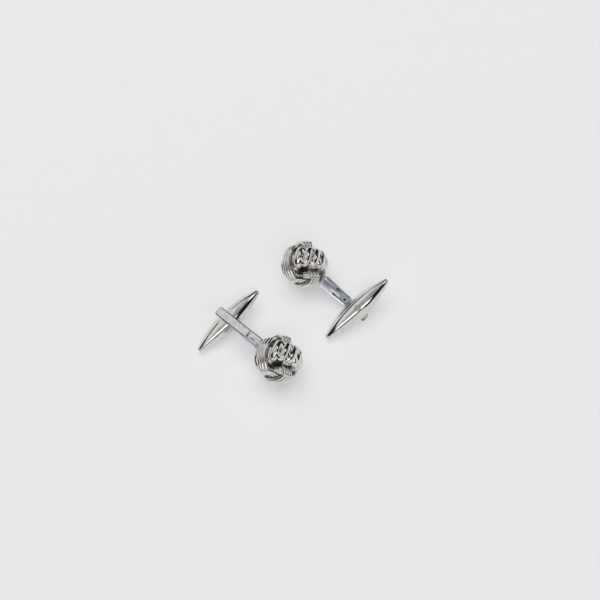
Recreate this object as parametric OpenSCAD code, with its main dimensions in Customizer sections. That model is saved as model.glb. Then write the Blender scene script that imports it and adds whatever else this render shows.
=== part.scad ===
// A pair of knot cufflinks with torpedo toggles that swivel on the ends of their posts.
// Each cufflink is drawn with its knot's centre at zero, its post along +X and the post's flat face up,
// and is then laid on the table. X runs along both posts, Z points up.

/* [Knot] */
// Radius of the knot over its outermost wires
knot_r = 5.8; // [5.2:0.05:6.4]
// Gap between the ball in the middle and the innermost bands
core_gap = 0.5; // [0.3:0.05:0.8]
// Gap between bands that cross
cross_gap = 0.06; // [0.04:0.01:0.1]

/* [Seat] */
// Radius of the dished pad that carries the post
seat_r = 1.5; // [1.2:0.05:2]
// Thickness of the dished pad
seat_t = 0.28; // [0.2:0.02:0.4]

/* [Post] */
// Distance from the knot's centre to the pivot pin
pin_x = 16.7; // [16.4:0.05:18]
// Length of the post past the pivot pin
tongue_l = 3; // [2.6:0.05:4]
// Height of the post's flat face above the knot's centre
web_z = 1.2; // [1:0.05:1.6]
// Thickness of the web
web_t = 0.35; // [0.3:0.01:0.4]
// Width of the post
post_w = 2.35; // [2.2:0.05:2.6]
// Radius of the corners of the far end
corner_r = 0.6; // [0.3:0.05:0.8]
// Thickness of each cheek
cheek_t = 0.38; // [0.3:0.01:0.42]
// Depth of the cheeks at the knot, from the flat face
cheek_h = 1.9; // [1.5:0.05:2.1]
// Angle by which the cheeks spread outwards, in degrees
cheek_spread = 12; // [6:1:14]
// Depth of the cheeks at their far end, from the flat face
cheek_end_h = 0.58; // [0.5:0.01:0.6]
// Distance from the knot's centre to the end of the cheeks' taper
taper_x = 12.1; // [11.6:0.05:12.3]
// Distance from the knot's centre to the far end of the cheeks
cheek_end_x = 13.7; // [12.9:0.05:13.9]
// Length of the open window between the seat and the web
window_l = 3.4; // [3:0.05:3.6]

/* [Tang and spring] */
// Thickness of the tang
tang_t = 0.4; // [0.3:0.01:0.42]
// Length of the slot in the tang
slot_l = 1.2; // [0.8:0.05:1.5]
// Width of the slot in the tang
slot_w = 0.28; // [0.2:0.01:0.3]
// Distance of the slot from the tang's middle
slot_off = 0.27; // [0.2:0.01:0.3]
// Thickness of the leaf spring
leaf_t = 0.2; // [0.16:0.01:0.22]
// Width of the leaf spring
leaf_w = 1.2; // [0.9:0.02:1.3]
// Length over which the leaf spring steps up to the web
leaf_step_l = 1; // [0.9:0.05:1.4]
// Radius of the leaf spring's eye round the pivot pin
leaf_eye_r = 1; // [0.9:0.05:1.2]
// Distance from the knot's centre to the eyelet
eyelet_x = 12.9; // [12.7:0.05:12.9]
// Outer radius of the eyelet's shank
eyelet_r = 0.5; // [0.4:0.01:0.55]
// Outer radius of the eyelet's rim
rim_r = 0.76; // [0.6:0.01:0.8]
// Thickness of the eyelet's rim
rim_t = 0.05; // [0.04:0.01:0.05]
// Wall of the eyelet
eyelet_wall = 0.12; // [0.08:0.01:0.14]
// Depth to which the eyelet and the pivot pin enter the web
grip_h = 0.24; // [0.18:0.01:0.26]

/* [Toggle] */
// Length of the toggle
toggle_l = 20.3; // [19.5:0.1:20.6]
// Radius of the toggle at its middle
belly_r = 2.45; // [2.2:0.05:2.5]
// Radius of the toggle's rounded tips
tip_r = 0.8; // [0.6:0.05:0.9]
// Height of the flat on the toggle above its axis
flat_h = 2.3; // [2.2:0.01:2.32]
// Gap between the leaf spring and the toggle's flat
toggle_gap = 0.08; // [0.08:0.01:0.14]

/* [Pivot pin] */
// Radius of the pivot pin
pin_r = 0.45; // [0.4:0.01:0.5]
// Radial clearance between the pin and the toggle
pin_fit = 0.05; // [0.03:0.01:0.08]
// Radius of the pin's head
head_r = 0.72; // [0.65:0.01:0.8]
// Thickness of the pin's head
head_t = 0.4; // [0.3:0.01:0.5]
// Clearance round and under the pin's head
head_gap = 0.08; // [0.05:0.01:0.12]
// Depth of the toggle's countersink, from the belly
sink_h = 0.62; // [0.5:0.01:0.8]

/* [Layout] */
// Place of the near knot along X
near_x = 6.23; // [4.6:0.01:7.6]
// Place of the near knot along Y
near_y = -11.66; // [-13:0.01:-9.4]
// Height of the near knot's centre above the table
near_z = 5.79; // [4.9:0.01:6.6]
// Place of the far knot along X
far_x = -5.77; // [-7:0.01:-4.4]
// Place of the far knot along Y
far_y = 11.14; // [9.6:0.01:13.6]
// Height of the far knot's centre above the table
far_z = 5.8; // [4.9:0.01:6.6]
// Slope of the near post, in degrees
near_tilt = -4.4; // [-9:0.1:-4]
// Lean of the near cufflink about its post, in degrees
near_roll = -9.2; // [-10:0.1:-6]
// Heading of the near post from the X axis, in degrees
near_heading = -1.2; // [-3:0.1:3]
// Turn of the near toggle from crosswise, in degrees
near_swing = -2.4; // [-6:0.1:6]
// Slope of the far post, in degrees
far_tilt = -13; // [-16:0.1:-11]
// Lean of the far cufflink about its post, in degrees
far_roll = 16.5; // [14:0.1:18.5]
// Heading of the far post from the X axis, in degrees
far_heading = 2.2; // [-3:0.1:3]
// Turn of the far toggle from crosswise, in degrees
far_swing = 5.4; // [-6:0.1:6]
// Turns of the near knot on its seat about X, Y and Z, in degrees
near_turn = [93.2, -34.8, -142.5];
// Turns of the far knot on its seat about X, Y and Z, in degrees
far_turn = [-102.9, 51.7, -59.4];

/* [Hidden] */
$fn = 48;
cut = 1;
join_gap = 0.02;
wires = 3;
wire_share = 0.0793;
rope_share = 0.207;
bow_share = 0.069;
wire_rings = 48;
wire_sides = 6;
rope_rings = 48;
rope_sides = 10;
arc_steps = 12;

// Squared cosines between which a band climbs from under one neighbour to over the other
rope_shares = [0.16, 0.38];
one_shares = [0.12, 0.52];
two_shares = [0.37, 0.76];

// Radius of a smooth wire and of a twisted rope, and the sideways bow of every band round the open pockets
wire_r = wire_share * knot_r;
rope_r = rope_share * knot_r;
bow = bow_share * knot_r;

// Radii of the paths where a band runs over and under its neighbours
smooth_over = knot_r - wire_r;
smooth_under = smooth_over - 2 * wire_r - cross_gap;
rope_over = knot_r - rope_r;
rope_under = smooth_over - wire_r - cross_gap - rope_r;
smooth_under_rope = rope_over - rope_r - cross_gap - wire_r;
core_r = rope_under - rope_r - core_gap;

seat_in = knot_r + join_gap;
seat_out = seat_in + seat_t;
root_x = seat_out + join_gap;
window_x = root_x + window_l;
far_end_x = pin_x + tongue_l;
web_in = web_z - web_t;

tang_top = web_in - join_gap;
tang_low = tang_top - tang_t;
slot_x = root_x + window_l / 3;
leaf_top = web_in - join_gap;
leaf_low = leaf_top - leaf_t;
leaf_near_top = tang_low - join_gap;
leaf_near_low = leaf_near_top - leaf_t;
leaf_step_x = window_x;
leaf_near_x = root_x + join_gap + leaf_w / 2;
rim_low = leaf_low - join_gap - rim_t;

toggle_z = leaf_low - toggle_gap - flat_h;
toggle_half = toggle_l / 2;
tip_s = toggle_half - tip_r;
arc_r = (pow(tip_s, 2) + pow(belly_r - tip_r, 2)) / (2 * (belly_r - tip_r));
arc_end = asin(tip_s / (arc_r - tip_r));
sink_z = toggle_z - belly_r + sink_h;

// Puts a cufflink down on the table
module lay_near() {
    translate([near_x, near_y, near_z]) rotate([0, -near_tilt, near_heading + 180])
        rotate([near_roll, 0, 0]) children();
}

module lay_far() {
    translate([far_x, far_y, far_z]) rotate([0, -far_tilt, far_heading])
        rotate([far_roll + 180, 0, 0]) children();
}

// Turns a knot on its seat, as each one is soldered
module turn_near() {
    rotate(near_turn) children();
}

module turn_far() {
    rotate(far_turn) children();
}

// Turns a toggle about its pivot pin
module swing(angle) {
    translate([pin_x, 0, 0]) rotate([0, 0, angle]) translate([-pin_x, 0, 0]) children();
}

// How far a band has risen at angle a: fully over at 0 and 180 degrees, fully under at 90 and 270
function rise(a, shares) =
    let (t = min(1, max(0, (pow(cos(a), 2) - shares[0]) / (shares[1] - shares[0]))))
    pow(t, 2) * (3 - 2 * t);

// A closed tube round the Z axis, moved sideways along Z on the knot's ball
module loop_tube(over, under, shares, side, tube_r, rings, sides) {
    points = [
        for (i = [0 : rings - 1], j = [0 : sides - 1])
            let (
                a = 360 * i / rings,
                b = 360 * j / sides,
                path = under + (over - under) * rise(a, shares),
                off = side - bow * sin(2 * a),
                out = sqrt(pow(path, 2) - pow(off, 2)) + tube_r * cos(b)
            )
            [out * cos(a), out * sin(a), off + tube_r * sin(b)]
    ];
    faces = [
        for (i = [0 : rings - 1], j = [0 : sides - 1], half = [0, 1])
            let (
                i2 = (i + 1) % rings,
                j2 = (j + 1) % sides
            )
            half == 0
                ? [i * sides + j, i * sides + j2, i2 * sides + j2]
                : [i * sides + j, i2 * sides + j2, i2 * sides + j]
    ];
    polyhedron(points = points, faces = faces);
}

module rope(side) {
    loop_tube(rope_over, rope_under, rope_shares, side, rope_r, rope_rings, rope_sides);
}

module plain_band(under, shares) {
    for (i = [0 : wires - 1]) {
        side = (2 * i - wires + 1) * wire_r;
        loop_tube(smooth_over, under, shares, side, wire_r, wire_rings, wire_sides);
    }
}

module knot_core() {
    color([0.3, 0.3, 0.31]) sphere(r = core_r);
}

module rope_a() {
    color([0.78, 0.77, 0.75]) rope(-rope_r);
}

module rope_b() {
    color([0.74, 0.73, 0.71]) rope(rope_r);
}

module band_one() {
    color([0.82, 0.81, 0.79]) rotate([90, 0, 90]) plain_band(smooth_under, one_shares);
}

module band_two() {
    color([0.7, 0.7, 0.68]) rotate([0, -90, -90]) plain_band(smooth_under_rope, two_shares);
}

module seat() {
    color([0.76, 0.76, 0.75])
    intersection() {
        difference() {
            sphere(r = seat_out);
            sphere(r = seat_in);
        }
        rotate([0, 90, 0]) cylinder(r = seat_r, h = seat_out + cut);
    }
}

module tang() {
    color([0.8, 0.78, 0.75])
    difference() {
        translate([root_x, -leaf_w / 2, tang_low]) cube([window_l - join_gap, leaf_w, tang_t]);
        translate([slot_x, slot_off - slot_w / 2, tang_low - cut]) cube([slot_l, slot_w, tang_t + 2 * cut]);
    }
}

module cheek(side) {
    translate([0, side * post_w / 2, web_z]) rotate([side * cheek_spread, 0, 0])
        translate([0, (1 - side) * cheek_t / 2, 0]) rotate([90, 0, 0]) linear_extrude(cheek_t)
            polygon([
                [root_x, 0],
                [root_x, -cheek_h],
                [taper_x, -cheek_end_h],
                [cheek_end_x, -cheek_end_h],
                [cheek_end_x, 0]
            ]);
}

module post() {
    color([0.77, 0.77, 0.76])
    difference() {
        union() {
            for (side = [-1, 1]) cheek(side);
            translate([window_x, -post_w / 2, web_in])
                cube([far_end_x - corner_r - window_x, post_w, web_t]);
            translate([far_end_x - 2 * corner_r, corner_r - post_w / 2, web_in])
                cube([2 * corner_r, post_w - 2 * corner_r, web_t]);
            for (side = [-1, 1])
                translate([far_end_x - corner_r, side * (post_w / 2 - corner_r), web_in])
                    cylinder(r = corner_r, h = web_t);
        }
        translate([pin_x, 0, web_in - cut]) cylinder(r = pin_r + join_gap, h = cut + grip_h + join_gap);
        translate([eyelet_x, 0, web_in - cut]) cylinder(r = eyelet_r + join_gap, h = cut + grip_h + join_gap);
    }
}

module leaf_spring() {
    color([0.72, 0.72, 0.72])
    difference() {
        union() {
            translate([0, leaf_w / 2, 0]) rotate([90, 0, 0]) linear_extrude(leaf_w)
                polygon([
                    [leaf_near_x, leaf_near_low],
                    [leaf_step_x, leaf_near_low],
                    [leaf_step_x + leaf_step_l, leaf_low],
                    [pin_x, leaf_low],
                    [pin_x, leaf_top],
                    [leaf_step_x + leaf_step_l, leaf_top],
                    [leaf_step_x, leaf_near_top],
                    [leaf_near_x, leaf_near_top]
                ]);
            translate([leaf_near_x, 0, leaf_near_low]) cylinder(r = leaf_w / 2, h = leaf_t);
            translate([pin_x, 0, leaf_low]) cylinder(r = leaf_eye_r, h = leaf_t);
        }
        translate([pin_x, 0, leaf_low - cut]) cylinder(r = pin_r + pin_fit, h = leaf_t + 2 * cut);
        translate([eyelet_x, 0, leaf_low - cut]) cylinder(r = eyelet_r + join_gap, h = leaf_t + 2 * cut);
    }
}

module eyelet() {
    color([0.85, 0.85, 0.84])
    translate([eyelet_x, 0, rim_low])
    difference() {
        union() {
            cylinder(r = rim_r, h = rim_t);
            cylinder(r = eyelet_r, h = web_in + grip_h - rim_low);
        }
        translate([0, 0, -cut]) cylinder(r = eyelet_r - eyelet_wall, h = web_in - rim_low + 2 * cut);
    }
}

module toggle() {
    color([0.75, 0.74, 0.73])
    translate([pin_x, 0, toggle_z])
    difference() {
        union() {
            rotate([90, 0, 0]) rotate_extrude()
                polygon(concat(
                    [[0, -tip_s]],
                    [for (i = [0 : 2 * arc_steps])
                        let (a = arc_end * (i / arc_steps - 1))
                        [arc_r * cos(a) - arc_r + belly_r, arc_r * sin(a)]],
                    [[0, tip_s]]
                ));
            for (side = [-1, 1]) translate([0, side * tip_s, 0]) sphere(r = tip_r);
        }
        translate([-belly_r - cut, -toggle_half, flat_h]) cube([2 * (belly_r + cut), toggle_l, belly_r]);
        translate([0, 0, -belly_r - cut]) cylinder(r = pin_r + pin_fit, h = 2 * (belly_r + cut));
        translate([0, 0, -belly_r - cut]) cylinder(r = head_r + head_gap, h = sink_h + cut);
    }
}

module pivot_pin() {
    color([0.88, 0.88, 0.87])
    translate([pin_x, 0, 0]) {
        translate([0, 0, sink_z - head_gap - head_t]) cylinder(r = head_r, h = head_t);
        translate([0, 0, sink_z - head_gap - head_t])
            cylinder(r = pin_r, h = web_in + grip_h - sink_z + head_gap + head_t);
    }
}

lay_near() turn_near() knot_core();  // near_knot_core
lay_near() turn_near() rope_a();  // near_rope_a
lay_near() turn_near() rope_b();  // near_rope_b
lay_near() turn_near() band_one();  // near_band_one
lay_near() turn_near() band_two();  // near_band_two
lay_near() seat();  // near_seat
lay_near() tang();  // near_tang
lay_near() post();  // near_post
lay_near() leaf_spring();  // near_leaf_spring
lay_near() eyelet();  // near_eyelet
lay_near() swing(near_swing) toggle();  // near_toggle
lay_near() pivot_pin();  // near_pivot_pin
lay_far() turn_far() knot_core();  // far_knot_core
lay_far() turn_far() rope_a();  // far_rope_a
lay_far() turn_far() rope_b();  // far_rope_b
lay_far() turn_far() band_one();  // far_band_one
lay_far() turn_far() band_two();  // far_band_two
lay_far() seat();  // far_seat
lay_far() tang();  // far_tang
lay_far() post();  // far_post
lay_far() leaf_spring();  // far_leaf_spring
lay_far() eyelet();  // far_eyelet
lay_far() swing(far_swing) toggle();  // far_toggle
lay_far() pivot_pin();  // far_pivot_pin
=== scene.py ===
import math

import bmesh
import bpy
from mathutils import Matrix, Vector


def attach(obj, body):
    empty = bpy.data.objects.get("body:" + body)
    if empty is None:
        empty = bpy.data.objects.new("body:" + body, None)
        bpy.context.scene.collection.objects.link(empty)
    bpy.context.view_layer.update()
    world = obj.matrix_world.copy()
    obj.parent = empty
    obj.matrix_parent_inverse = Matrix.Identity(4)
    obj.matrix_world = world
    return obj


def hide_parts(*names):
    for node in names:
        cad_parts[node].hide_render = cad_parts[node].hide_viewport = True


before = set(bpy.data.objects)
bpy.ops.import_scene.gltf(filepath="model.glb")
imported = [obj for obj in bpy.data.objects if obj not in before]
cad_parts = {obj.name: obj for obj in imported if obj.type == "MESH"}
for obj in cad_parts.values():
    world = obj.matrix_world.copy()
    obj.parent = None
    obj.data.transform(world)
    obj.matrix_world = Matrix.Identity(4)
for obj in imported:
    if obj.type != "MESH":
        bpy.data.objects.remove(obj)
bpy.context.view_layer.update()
mm = 0.001  # lengths below are in millimetres and angles in degrees

# How the two cufflinks lie on the table: place of the knot's centre, heading, slope and lean of the post,
# turn of the toggle on its pin, and turn of the knot on its seat
layout = {
    "near": {"place": (6.23, -11.66, 5.79), "heading": 178.8, "slope": 4.4, "lean": -9.2, "swing": -2.4,
             "knot": (93.2, -34.8, -142.5)},
    "far": {"place": (-5.77, 11.14, 5.8), "heading": 2.2, "slope": 13.0, "lean": 196.5, "swing": 5.4,
            "knot": (-102.9, 51.7, -59.4)},
}

# The view is shifted up by a few of the picture's pixels, because the pair lies a little under its middle
cameraSettings = {
    "azimuth": -48.6, "elevation": 63.44, "distance": 316.1, "target": (-0.37, 3.44, 0.0), "lens": 78.44,
    "sensor": 36, "nearest": 10, "furthest": 10000, "shiftPixels": 10, "picturePixels": 600,
}


def direction(azimuth, height):
    a, h = math.radians(azimuth), math.radians(height)
    return Vector((math.cos(a) * math.cos(h), math.sin(a) * math.cos(h), math.sin(h)))


def levelAcross(azimuth):
    a = math.radians(azimuth)
    return Vector((-math.sin(a), math.cos(a), 0))


def makeCamera(settings):
    back = direction(settings["azimuth"], settings["elevation"])
    right = levelAcross(settings["azimuth"])
    data = bpy.data.cameras.new("camera")
    data.sensor_width = settings["sensor"]
    data.lens = settings["lens"]
    data.shift_y = settings["shiftPixels"] / settings["picturePixels"]
    data.clip_start = settings["nearest"] * mm
    data.clip_end = settings["furthest"] * mm
    camera = bpy.data.objects.new("camera", data)
    bpy.context.scene.collection.objects.link(camera)
    place = (Vector(settings["target"]) + back * settings["distance"]) * mm
    turn = Matrix((right, back.cross(right), back)).transposed()
    camera.matrix_world = Matrix.Translation(place) @ turn.to_4x4()
    bpy.context.scene.camera = camera


makeCamera(cameraSettings)
print("camera placed")


def turned(angle, axis):
    return Matrix.Rotation(math.radians(angle), 4, axis)


def linkMatrix(side):
    lie = layout[side]
    return (Matrix.Translation(Vector(lie["place"]) * mm) @ turned(lie["heading"], "Z")
            @ turned(lie["slope"], "Y") @ turned(lie["lean"], "X"))


def knotMatrix(side):
    x, y, z = layout[side]["knot"]
    return linkMatrix(side) @ turned(z, "Z") @ turned(y, "Y") @ turned(x, "X")


# Materials
def newMaterial(name):
    material = bpy.data.materials.new(name)
    material.use_nodes = True
    return material, material.node_tree.nodes, material.node_tree.links


def mathsNode(nodes, links, operation, *values):
    node = nodes.new("ShaderNodeMath")
    node.operation = operation
    for socket, value in zip(node.inputs, values):
        if isinstance(value, (int, float)):
            socket.default_value = value
        else:
            links.new(value, socket)
    return node.outputs[0]


def objectNoise(nodes, links, scale, detail, stretch=None):
    place = nodes.new("ShaderNodeTexCoord").outputs["Object"]
    if stretch:
        mapping = nodes.new("ShaderNodeMapping")
        mapping.inputs["Scale"].default_value = stretch
        links.new(place, mapping.inputs["Vector"])
        place = mapping.outputs["Vector"]
    noise = nodes.new("ShaderNodeTexNoise")
    noise.inputs["Scale"].default_value = scale
    noise.inputs["Detail"].default_value = detail
    links.new(place, noise.inputs["Vector"])
    return noise.outputs["Fac"]


def ramp(nodes, links, source, stops):
    node = nodes.new("ShaderNodeValToRGB")
    elements = node.color_ramp.elements
    while len(elements) < len(stops):
        elements.new(0.5)  # moved to its own place below
    for element, (place, colour) in zip(elements, stops):
        element.position = place
        element.color = (*colour, 1)
    links.new(source, node.inputs["Fac"])
    return node.outputs["Color"]


def bumpNode(nodes, links, height, strength, depth):
    node = nodes.new("ShaderNodeBump")
    node.inputs["Strength"].default_value = strength
    node.inputs["Distance"].default_value = depth * mm
    links.new(height, node.inputs["Height"])
    return node


def polishedMetal(name, look):
    material, nodes, links = newMaterial(name)
    shader = nodes["Principled BSDF"]
    shader.inputs["Metallic"].default_value = 1.0
    tone = objectNoise(nodes, links, look["patchScale"], look["patchDetail"])
    patches = zip(look["patchStops"], (look["tarnish"], look["colour"]))
    links.new(ramp(nodes, links, tone, list(patches)), shader.inputs["Base Color"])
    marks = objectNoise(nodes, links, look["markScale"], look["markDetail"], look.get("markStretch"))
    wear = [(place, (rough,) * 3) for place, rough in zip(look["markStops"], look["roughness"])]
    links.new(ramp(nodes, links, marks, wear), shader.inputs["Roughness"])
    waves = objectNoise(nodes, links, look["rippleScale"], look["rippleDetail"])
    ripple = bumpNode(nodes, links, waves, look["ripple"], look["rippleDepth"])
    scratch = bumpNode(nodes, links, marks, look["scratch"], look["scratchDepth"])
    links.new(ripple.outputs["Normal"], scratch.inputs["Normal"])
    links.new(scratch.outputs["Normal"], shader.inputs["Normal"])
    return material


silver = {
    "colour": (0.78, 0.765, 0.74), "tarnish": (0.68, 0.66, 0.635),
    "patchScale": 900, "patchDetail": 4, "patchStops": (0.35, 0.62),
    "markScale": 5200, "markDetail": 6, "markStops": (0.4, 0.75), "roughness": (0.06, 0.16),
    "rippleScale": 700, "rippleDetail": 2, "ripple": 0.25, "rippleDepth": 0.02,
    "scratch": 0.15, "scratchDepth": 0.004,
}
finishes = {
    "rope": dict(silver, tarnish=(0.62, 0.60, 0.57)),
    "band": silver,
    "strip": dict(silver, colour=(0.74, 0.725, 0.745), tarnish=(0.60, 0.60, 0.64), roughness=(0.1, 0.2),
                  ripple=0.06, markStretch=(0.15, 1, 1)),
    "spring": dict(silver, colour=(0.46, 0.52, 0.56), tarnish=(0.30, 0.36, 0.39), roughness=(0.2, 0.34)),
    "toggle": dict(silver, roughness=(0.05, 0.12), markStretch=(1, 0.12, 1)),
    "rivet": silver,
    # The knot's core is near-black: painted shade for the dark hollow among the bands
    "inside": dict(silver, colour=(0.10, 0.098, 0.094), tarnish=(0.03, 0.029, 0.027), roughness=(0.4, 0.65)),
}
metal = {name: polishedMetal(name + "Metal", look) for name, look in finishes.items()}
print("materials made")


def meshObject(name, mesh, material):
    thing = bpy.data.objects.new(name, mesh)
    bpy.context.scene.collection.objects.link(thing)
    mesh.materials.clear()
    mesh.materials.append(material)
    return thing


def pieceName(side, part):
    return side + "".join(word.capitalize() for word in part.split("_"))


def settle(thing, side, body, part):
    # The piece rides on its body and stands for its solid
    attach(thing, side + "_" + body)
    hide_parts(side + "_" + part)


def applied(thing):
    # The evaluated shape becomes the object's own mesh and its modifiers go
    graph = bpy.context.evaluated_depsgraph_get()
    mesh = bpy.data.meshes.new_from_object(thing.evaluated_get(graph))
    thing.modifiers.clear()
    thing.data = mesh
    return thing


def smoothShade(mesh, angle):
    mesh.polygons.foreach_set("use_smooth", [True] * len(mesh.polygons))
    mesh.set_sharp_from_angle(angle=math.radians(angle))
    mesh.update()


# The knot's three bands: each runs over one neighbour and under the other. The shares are the squared
# cosines of the way round between which a band climbs. A rope's strand winds in a flat oval, and its haste
# is how much faster it passes the rope's outer face than its edges
knotSizes = {
    "radius": 5.8, "wire": 0.46, "rope": 1.2, "bow": 0.4, "gap": 0.06, "wires": 3,
    "ropeShares": (0.16, 0.38), "oneShares": (0.12, 0.52), "twoShares": (0.37, 0.76),
    "turns": -7, "strand": 1.06, "sideReach": 1.55, "outReach": 0.15, "haste": 0.4, "ropeSide": -0.4,
    "wirePoints": 180, "ropePoints": 480, "wireSides": 16, "ropeSides": 20,
}
strandStarts = {"a": 0.0, "b": 0.5}
bandTurns = {
    "one": turned(90, "Z") @ turned(90, "X"),
    "two": turned(-90, "Z") @ turned(-90, "Y"),
}
wireInputs = {
    "Guide": "Geometry", "Turns": "Float", "Share": "Float", "Haste": "Float", "Side Reach": "Float",
    "Out Reach": "Float", "Strand Radius": "Float", "Sides": "Int", "Knot Centre": "Vector",
    "Metal": "Material",
}


def rise(angle, shares):
    t = min(1, max(0, (math.cos(angle) ** 2 - shares[0]) / (shares[1] - shares[0])))
    return t * t * (3 - 2 * t)


def loopPoints(over, under, shares, side, count):
    points = []
    for i in range(count):
        angle = 2 * math.pi * i / count
        path = under + (over - under) * rise(angle, shares)
        off = side - knotSizes["bow"] * math.sin(2 * angle)
        out = math.sqrt(path ** 2 - off ** 2)
        points.append(Vector((out * math.cos(angle), out * math.sin(angle), off)))
    return points


def guideMesh(name, loops, matrix):
    mesh = bpy.data.meshes.new(name)
    points, edges = [], []
    for loop in loops:
        first = len(points)
        points += [matrix @ (p * mm) for p in loop]
        edges += [(first + i, first + (i + 1) % len(loop)) for i in range(len(loop))]
    mesh.from_pydata(points, edges, [])
    return mesh


def wireTree():
    # Each closed guide line becomes a tube, straight or winding round the line as one strand of a flat rope
    tree = bpy.data.node_groups.new("twistedWire", "GeometryNodeTree")
    for name, kind in wireInputs.items():
        tree.interface.new_socket(name, in_out="INPUT", socket_type="NodeSocket" + kind)
    tree.interface.new_socket("Wire", in_out="OUTPUT", socket_type="NodeSocketGeometry")
    nodes, links = tree.nodes, tree.links
    given = nodes.new("NodeGroupInput").outputs

    def maths(operation, *values):
        return mathsNode(nodes, links, operation, *values)

    def vectors(operation, *sources, scale=None, output=0):
        node = nodes.new("ShaderNodeVectorMath")
        node.operation = operation
        for socket, source in zip(node.inputs, sources):
            links.new(source, socket)
        if scale is not None:
            links.new(scale, node.inputs["Scale"])
        return node.outputs[output]

    def step(kind, **sources):
        node = nodes.new(kind)
        for name, source in sources.items():
            links.new(source, node.inputs[name.replace("_", " ")])
        return node.outputs[0]

    line = step("GeometryNodeMeshToCurve", Mesh=given["Guide"])
    along = nodes.new("GeometryNodeSplineParameter").outputs["Factor"]
    start = maths("ADD", maths("MULTIPLY", along, given["Turns"]), given["Share"])
    steady = maths("MULTIPLY", start, 2 * math.pi)
    winding = maths("ADD", steady, maths("MULTIPLY", maths("SINE", steady), given["Haste"]))
    here = nodes.new("GeometryNodeInputPosition").outputs[0]
    tangent = nodes.new("GeometryNodeInputTangent").outputs[0]
    fromCentre = vectors("SUBTRACT", here, given["Knot Centre"])
    sideways = vectors("NORMALIZE", vectors("CROSS_PRODUCT", tangent, vectors("NORMALIZE", fromCentre)))
    outward = vectors("CROSS_PRODUCT", sideways, tangent)
    sideMove = maths("MULTIPLY", maths("SINE", winding), given["Side Reach"])
    # A strand that moves sideways also drops, to stay as far from the knot's centre
    reach = vectors("LENGTH", fromCentre, output="Value")
    drop = maths("DIVIDE", maths("MULTIPLY", sideMove, sideMove), maths("MULTIPLY", reach, 2.0))
    outMove = maths("SUBTRACT", maths("MULTIPLY", maths("COSINE", winding), given["Out Reach"]), drop)
    outShift = vectors("SCALE", outward, scale=outMove)
    sideShift = vectors("SCALE", sideways, scale=sideMove)
    strand = step("GeometryNodeSetPosition", Geometry=line, Offset=vectors("ADD", outShift, sideShift))
    radius = given["Strand Radius"]
    circle = step("GeometryNodeCurvePrimitiveCircle", Resolution=given["Sides"], Radius=radius)
    tube = step("GeometryNodeCurveToMesh", Curve=strand, Profile_Curve=circle)
    smooth = step("GeometryNodeSetShadeSmooth", Geometry=tube)
    real = step("GeometryNodeRealizeInstances", Geometry=smooth)
    finish = step("GeometryNodeSetMaterial", Geometry=real, Material=given["Metal"])
    links.new(finish, nodes.new("NodeGroupOutput").inputs["Wire"])
    return tree


twistedWire = wireTree()


def woundPiece(side, part, loops, matrix, settings):
    thing = bpy.data.objects.new(pieceName(side, part), guideMesh(part, loops, matrix))
    bpy.context.scene.collection.objects.link(thing)
    modifier = thing.modifiers.new("wire", "NODES")
    modifier.node_group = twistedWire
    for item in twistedWire.interface.items_tree:
        if item.in_out == "INPUT" and item.name in settings:
            modifier[item.identifier] = settings[item.name]
    thing = applied(thing)
    work = bmesh.new()
    work.from_mesh(thing.data)
    bmesh.ops.recalc_face_normals(work, faces=work.faces)
    work.to_mesh(thing.data)
    work.free()
    return thing


def knotPieces(side):
    size = knotSizes
    wireOver = size["radius"] - size["wire"]
    wireUnder = wireOver - 2 * size["wire"] - size["gap"]
    ropeOver = size["radius"] - size["rope"]
    ropeUnder = wireOver - size["wire"] - size["gap"] - size["rope"]
    underRope = ropeOver - size["rope"] - size["gap"] - size["wire"]
    inset = size["rope"] - size["strand"] - size["outReach"]
    knot = knotMatrix(side)
    centre = linkMatrix(side).translation
    ropeLoop = loopPoints(ropeOver + inset, ropeUnder + inset, size["ropeShares"], size["ropeSide"],
                          size["ropePoints"])
    for letter, share in strandStarts.items():
        rope = woundPiece(side, "rope_" + letter, [ropeLoop], knot, {
            "Turns": float(size["turns"]), "Share": share, "Haste": size["haste"],
            "Side Reach": size["sideReach"] * mm, "Out Reach": size["outReach"] * mm,
            "Strand Radius": size["strand"] * mm, "Sides": size["ropeSides"], "Knot Centre": centre,
            "Metal": metal["rope"],
        })
        settle(rope, side, "link", "rope_" + letter)
    sides = [(2 * i - size["wires"] + 1) * size["wire"] for i in range(size["wires"])]
    for which, under in (("one", wireUnder), ("two", underRope)):
        shares = size[which + "Shares"]
        loops = [loopPoints(wireOver, under, shares, place, size["wirePoints"]) for place in sides]
        band = woundPiece(side, "band_" + which, loops, knot @ bandTurns[which], {
            "Turns": 0.0, "Share": 0.0, "Haste": 0.0, "Side Reach": 0.0, "Out Reach": 0.0,
            "Strand Radius": size["wire"] * mm, "Sides": size["wireSides"], "Knot Centre": centre,
            "Metal": metal["band"],
        })
        settle(band, side, "link", "band_" + which)


def coreMetal(side):
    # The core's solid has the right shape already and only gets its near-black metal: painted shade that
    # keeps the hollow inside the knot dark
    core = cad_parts[side + "_knot_core"].data
    core.materials.clear()
    core.materials.append(metal["inside"])
    core.polygons.foreach_set("use_smooth", [True] * len(core.polygons))


# Strips, pins and rings: the solid's own shape with its edges rounded
edgePieces = {
    "seat": {"round": 0.1, "metal": "strip", "slot": "post_metal"},
    "tang": {"round": 0.1, "metal": "strip", "slot": "post_metal"},
    "post": {"round": 0.1, "metal": "strip", "slot": "post_metal"},
    "leaf_spring": {"round": 0.06, "metal": "spring", "slot": "spring_metal"},
    "eyelet": {"round": 0.02, "metal": "rivet", "slot": "pin_metal"},
    "pivot_pin": {"round": 0.12, "metal": "rivet", "slot": "pin_metal"},
}
edgeRules = {"merge": 0.0005, "flatAngle": 1, "steps": 3, "sharpAngle": 30, "shadeAngle": 40}

# The bend along the post's upper edges, and how far from its end and sides an edge still counts as bent
bendSizes = {"radius": 0.4, "steps": 6, "end": 0.7, "side": 0.05}


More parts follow.
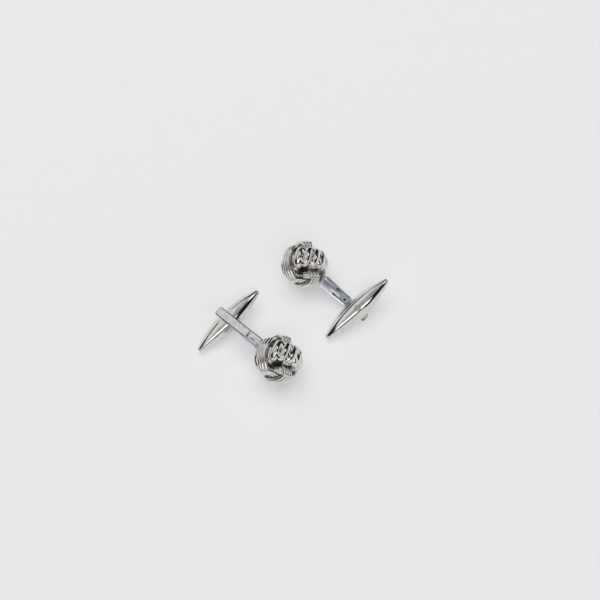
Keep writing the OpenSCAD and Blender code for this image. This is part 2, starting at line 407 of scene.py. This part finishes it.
def bendPost(work, side):
    toLink = linkMatrix(side).inverted()
    places = {v: toLink @ v.co / mm for v in work.verts}
    top = max(p.z for p in places.values()) - bendSizes["side"]
    end = max(p.x for p in places.values()) - bendSizes["end"]
    rim = max(p.y for p in places.values() if p.z > top) - bendSizes["side"]
    outer = []
    for line in work.edges:
        a, b = (places[v] for v in line.verts)
        if min(a.z, b.z) > top and (min(abs(a.y), abs(b.y)) > rim or min(a.x, b.x) > end):
            outer.append(line)
    bmesh.ops.bevel(work, geom=outer, offset=bendSizes["radius"] * mm, offset_type="OFFSET", affect="EDGES",
                    segments=bendSizes["steps"], profile=0.5, clamp_overlap=False)


def roundedPiece(side, part):
    rules, look = edgeRules, edgePieces[part]
    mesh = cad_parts[side + "_" + part].data.copy()
    work = bmesh.new()
    work.from_mesh(mesh)
    bmesh.ops.remove_doubles(work, verts=work.verts, dist=rules["merge"] * mm)
    bmesh.ops.dissolve_limit(work, angle_limit=math.radians(rules["flatAngle"]), verts=work.verts,
                             edges=work.edges)
    if part == "post":
        bendPost(work, side)
    work.to_mesh(mesh)
    work.free()
    thing = meshObject(pieceName(side, part), mesh, metal[look["metal"]])
    bevel = thing.modifiers.new("roundEdges", "BEVEL")
    bevel.width = look["round"] * mm
    bevel.segments = rules["steps"]
    bevel.limit_method = "ANGLE"
    bevel.angle_limit = math.radians(rules["sharpAngle"])
    thing = applied(thing)
    smoothShade(thing.data, rules["shadeAngle"])
    settle(thing, side, "link", part)


# The toggle is turned about its long axis y: an arc from belly to tip, with a round end. It is cut flat on
# the side of the post, bored for its pin, and sunk for the pin's head
toggleSizes = {
    "length": 20.3, "belly": 2.45, "tip": 0.8, "flat": 2.3, "pinX": 16.7, "axisZ": -1.75,
    "sinkRadius": 0.8, "sinkDepth": 0.62, "bore": 0.5, "rings": 120, "around": 96, "holeSides": 48,
    "merge": 0.03, "edge": 0.03, "edgeSteps": 2, "sharpAngle": 22, "shadeAngle": 35,
}


def toggleRadius(y, size):
    tipPlace = size["length"] / 2 - size["tip"]
    swell = size["belly"] - size["tip"]
    arc = (tipPlace ** 2 + swell ** 2) / (2 * swell)
    if abs(y) <= arc * tipPlace / (arc - size["tip"]):
        return math.sqrt(arc ** 2 - y ** 2) - arc + size["belly"]
    return math.sqrt(max(0, size["tip"] ** 2 - (abs(y) - tipPlace) ** 2))


def turnedBody(size):
    work = bmesh.new()
    rings = []
    for i in range(size["rings"] + 1):
        y = -size["length"] / 2 * math.cos(math.pi * i / size["rings"])
        if i in (0, size["rings"]):
            rings.append([work.verts.new(Vector((0, y, 0)) * mm)])
            continue
        radius = toggleRadius(y, size)
        angles = [2 * math.pi * j / size["around"] for j in range(size["around"])]
        rings.append([work.verts.new(Vector((radius * math.cos(a), y, radius * math.sin(a))) * mm)
                      for a in angles])
    for a, b in zip(rings, rings[1:]):
        for j in range(size["around"]):
            k = (j + 1) % size["around"]
            corners = [a[j % len(a)], a[k % len(a)], b[k % len(b)], b[j % len(b)]]
            work.faces.new(list(dict.fromkeys(corners)))
    bmesh.ops.recalc_face_normals(work, faces=work.faces)
    return work


def flatCutter(size):
    work = bmesh.new()
    bmesh.ops.create_cube(work, size=1)
    across, depth = 4 * size["belly"], size["belly"]
    place = Matrix.Translation(Vector((0, 0, size["flat"] + depth / 2)) * mm)
    scale = Matrix.Diagonal((across * mm, size["length"] * mm, depth * mm, 1))
    bmesh.ops.transform(work, verts=work.verts, matrix=place @ scale)
    return work


def holeCutter(size, radius, high):
    low = -2 * size["belly"]
    work = bmesh.new()
    bmesh.ops.create_cone(work, cap_ends=True, segments=size["holeSides"], radius1=radius * mm,
                          radius2=radius * mm, depth=(high - low) * mm)
    middle = Matrix.Translation((0, 0, (low + high) / 2 * mm))
    bmesh.ops.transform(work, verts=work.verts, matrix=middle)
    return work


def toMesh(work, name):
    mesh = bpy.data.meshes.new(name)
    work.to_mesh(mesh)
    work.free()
    return mesh


def cutAway(thing, cutters, material):
    helpers = []
    for cutter in cutters:
        helper = meshObject("cutter", toMesh(cutter, "cutter"), material)
        helpers.append(helper)
        cut = thing.modifiers.new("cut", "BOOLEAN")
        cut.operation = "DIFFERENCE"
        cut.solver = "EXACT"
        cut.object = helper
    thing = applied(thing)
    for helper in helpers:
        bpy.data.objects.remove(helper)
    return thing


def roundFlat(mesh, size):
    # Only the edges of the flat side are rounded: the sink and the bore stay crisp
    work = bmesh.new()
    work.from_mesh(mesh)
    bmesh.ops.remove_doubles(work, verts=work.verts, dist=size["merge"] * mm)
    bmesh.ops.dissolve_degenerate(work, edges=work.edges, dist=size["merge"] * mm)
    clear = (size["sinkRadius"] + size["merge"]) * mm
    sharp = [line for line in work.edges
             if line.calc_face_angle(0) > math.radians(size["sharpAngle"])
             and min(math.hypot(v.co.x, v.co.y) for v in line.verts) > clear]
    bmesh.ops.bevel(work, geom=sharp, offset=size["edge"] * mm, offset_type="OFFSET", affect="EDGES",
                    segments=size["edgeSteps"], profile=0.5, clamp_overlap=True)
    work.to_mesh(mesh)
    work.free()


def togglePiece(side):
    size = toggleSizes
    name = pieceName(side, "toggle")
    thing = meshObject(name, toMesh(turnedBody(size), name), metal["toggle"])
    bore = holeCutter(size, size["bore"], 2 * size["belly"])
    sink = holeCutter(size, size["sinkRadius"], size["sinkDepth"] - size["belly"])
    thing = cutAway(thing, [flatCutter(size), bore, sink], metal["toggle"])
    roundFlat(thing.data, size)
    smoothShade(thing.data, size["shadeAngle"])
    pin = Matrix.Translation(Vector((size["pinX"], 0, size["axisZ"])) * mm)
    thing.data.transform(linkMatrix(side) @ pin @ turned(layout[side]["swing"], "Z"))
    settle(thing, side, "toggle", "toggle")


for side in layout:
    knotPieces(side)
    coreMetal(side)
    print(side, "knot wound")
    for part in edgePieces:
        roundedPiece(side, part)
    togglePiece(side)
    print(side, "post and toggle made")


# Floor, studio surroundings and light
studio = {
    "floorSize": 2000, "floor": (0.80, 0.80, 0.815), "roughness": 0.9, "specular": 0.1,
    "glow": 0.3, "glowTint": (0.99, 0.99, 1.0),
}
overhead = {"place": (-200, 100, 900), "aim": (0, 0, 0), "size": (900, 900), "power": 2.1}

# The white tent's brightness by the sine of the height, with a dark gap all round under the top light
tent = [
    (0.0, 0.72), (0.3, 0.84), (0.44, 0.80), (0.50, 0.03), (0.66, 0.03), (0.73, 0.4), (0.88, 0.5), (1.0, 0.4),
]

# Panels on the tent: azimuth and height of the middle, half width and half height, softness of the edge and
# brightness
panels = {
    "sky": {"at": (195, 62), "half": (34, 17), "soft": 0.12, "shine": (0.82, 0.82, 0.83)},
    "roomTop": {"at": (40, 46), "half": (30, 18), "soft": 0.14, "shine": (0.02, 0.02, 0.022)},
    "room": {"at": (45, 33), "half": (42, 13), "soft": 0.03, "shine": (0.01, 0.01, 0.012)},
    "leftWall": {"at": (-112, 24), "half": (30, 26), "soft": 0.04, "shine": (0.02, 0.02, 0.022)},
    "rightWall": {"at": (110, 24), "half": (26, 26), "soft": 0.04, "shine": (0.02, 0.02, 0.022)},
    "bar": {"at": (-30, 50), "half": (27, 8), "soft": 0.04, "shine": (1.7, 1.7, 1.7)},
    "side": {"at": (73, 55), "half": (8, 5), "soft": 0.05, "shine": (2.0, 2.0, 2.0)},
}
grazing = 0.01  # least cosine to a panel's middle at which it shows
mixSockets = {"from": 6, "to": 7, "result": 2}  # a Mix node's colour sockets share their names with others


def makeFloor():
    half = studio["floorSize"] / 2 * mm
    corners = [(-half, -half, 0), (half, -half, 0), (half, half, 0), (-half, half, 0)]
    mesh = bpy.data.meshes.new("floor")
    mesh.from_pydata(corners, [], [(0, 1, 2, 3)])
    material, nodes, links = newMaterial("floorPaper")
    shader = nodes["Principled BSDF"]
    shader.inputs["Base Color"].default_value = (*studio["floor"], 1)
    shader.inputs["Roughness"].default_value = studio["roughness"]
    shader.inputs["Specular IOR Level"].default_value = studio["specular"]
    shader.inputs["Emission Color"].default_value = (*studio["glowTint"], 1)
    shader.inputs["Emission Strength"].default_value = studio["glow"]
    meshObject("floor", mesh, material)


def makeSurroundings():
    world = bpy.data.worlds.new("studio")
    bpy.context.scene.world = world
    world.use_nodes = True
    nodes, links = world.node_tree.nodes, world.node_tree.links
    coordinate = nodes.new("ShaderNodeTexCoord").outputs["Generated"]

    def maths(operation, *values):
        return mathsNode(nodes, links, operation, *values)

    def along(axis):
        node = nodes.new("ShaderNodeVectorMath")
        node.operation = "DOT_PRODUCT"
        links.new(coordinate, node.inputs[0])
        node.inputs[1].default_value = axis
        return node.outputs["Value"]

    def inside(value, half, soft):
        node = nodes.new("ShaderNodeMapRange")
        node.interpolation_type = "SMOOTHSTEP"
        links.new(maths("ABSOLUTE", value), node.inputs["Value"])
        node.inputs["From Min"].default_value = half + soft
        node.inputs["From Max"].default_value = half - soft
        node.inputs["To Min"].default_value = 0
        node.inputs["To Max"].default_value = 1
        return node.outputs["Result"]

    split = nodes.new("ShaderNodeSeparateXYZ")
    links.new(coordinate, split.inputs["Vector"])
    light = ramp(nodes, links, split.outputs["Z"], [(place, (grey,) * 3) for place, grey in tent])
    for panel in panels.values():
        middle, across = direction(*panel["at"]), levelAcross(panel["at"][0])
        depth = maths("MAXIMUM", along(middle), grazing)
        mask = maths("GREATER_THAN", along(middle), grazing)
        for axis, half in zip((across, middle.cross(across)), panel["half"]):
            tangent = math.tan(math.radians(half))
            covered = inside(maths("DIVIDE", along(axis), depth), tangent, panel["soft"])
            mask = maths("MULTIPLY", mask, covered)
        glow = nodes.new("ShaderNodeMix")
        glow.data_type = "RGBA"
        links.new(mask, glow.inputs["Factor"])
        links.new(light, glow.inputs[mixSockets["from"]])
        glow.inputs[mixSockets["to"]].default_value = (*panel["shine"], 1)
        light = glow.outputs[mixSockets["result"]]
    links.new(light, nodes["Background"].inputs["Color"])


def softLight(name, settings):
    # The metal doesn't mirror it
    data = bpy.data.lights.new(name, "AREA")
    data.shape = "RECTANGLE"
    data.size, data.size_y = (v * mm for v in settings["size"])
    data.energy = settings["power"]
    light = bpy.data.objects.new(name, data)
    bpy.context.scene.collection.objects.link(light)
    here, there = Vector(settings["place"]) * mm, Vector(settings["aim"]) * mm
    turn = (here - there).to_track_quat("Z", "Y").to_matrix()
    light.matrix_world = Matrix.Translation(here) @ turn.to_4x4()
    light.visible_glossy = False


makeFloor()
makeSurroundings()
softLight("overhead", overhead)
bpy.context.scene.view_settings.view_transform = "Standard"
print("studio lit")
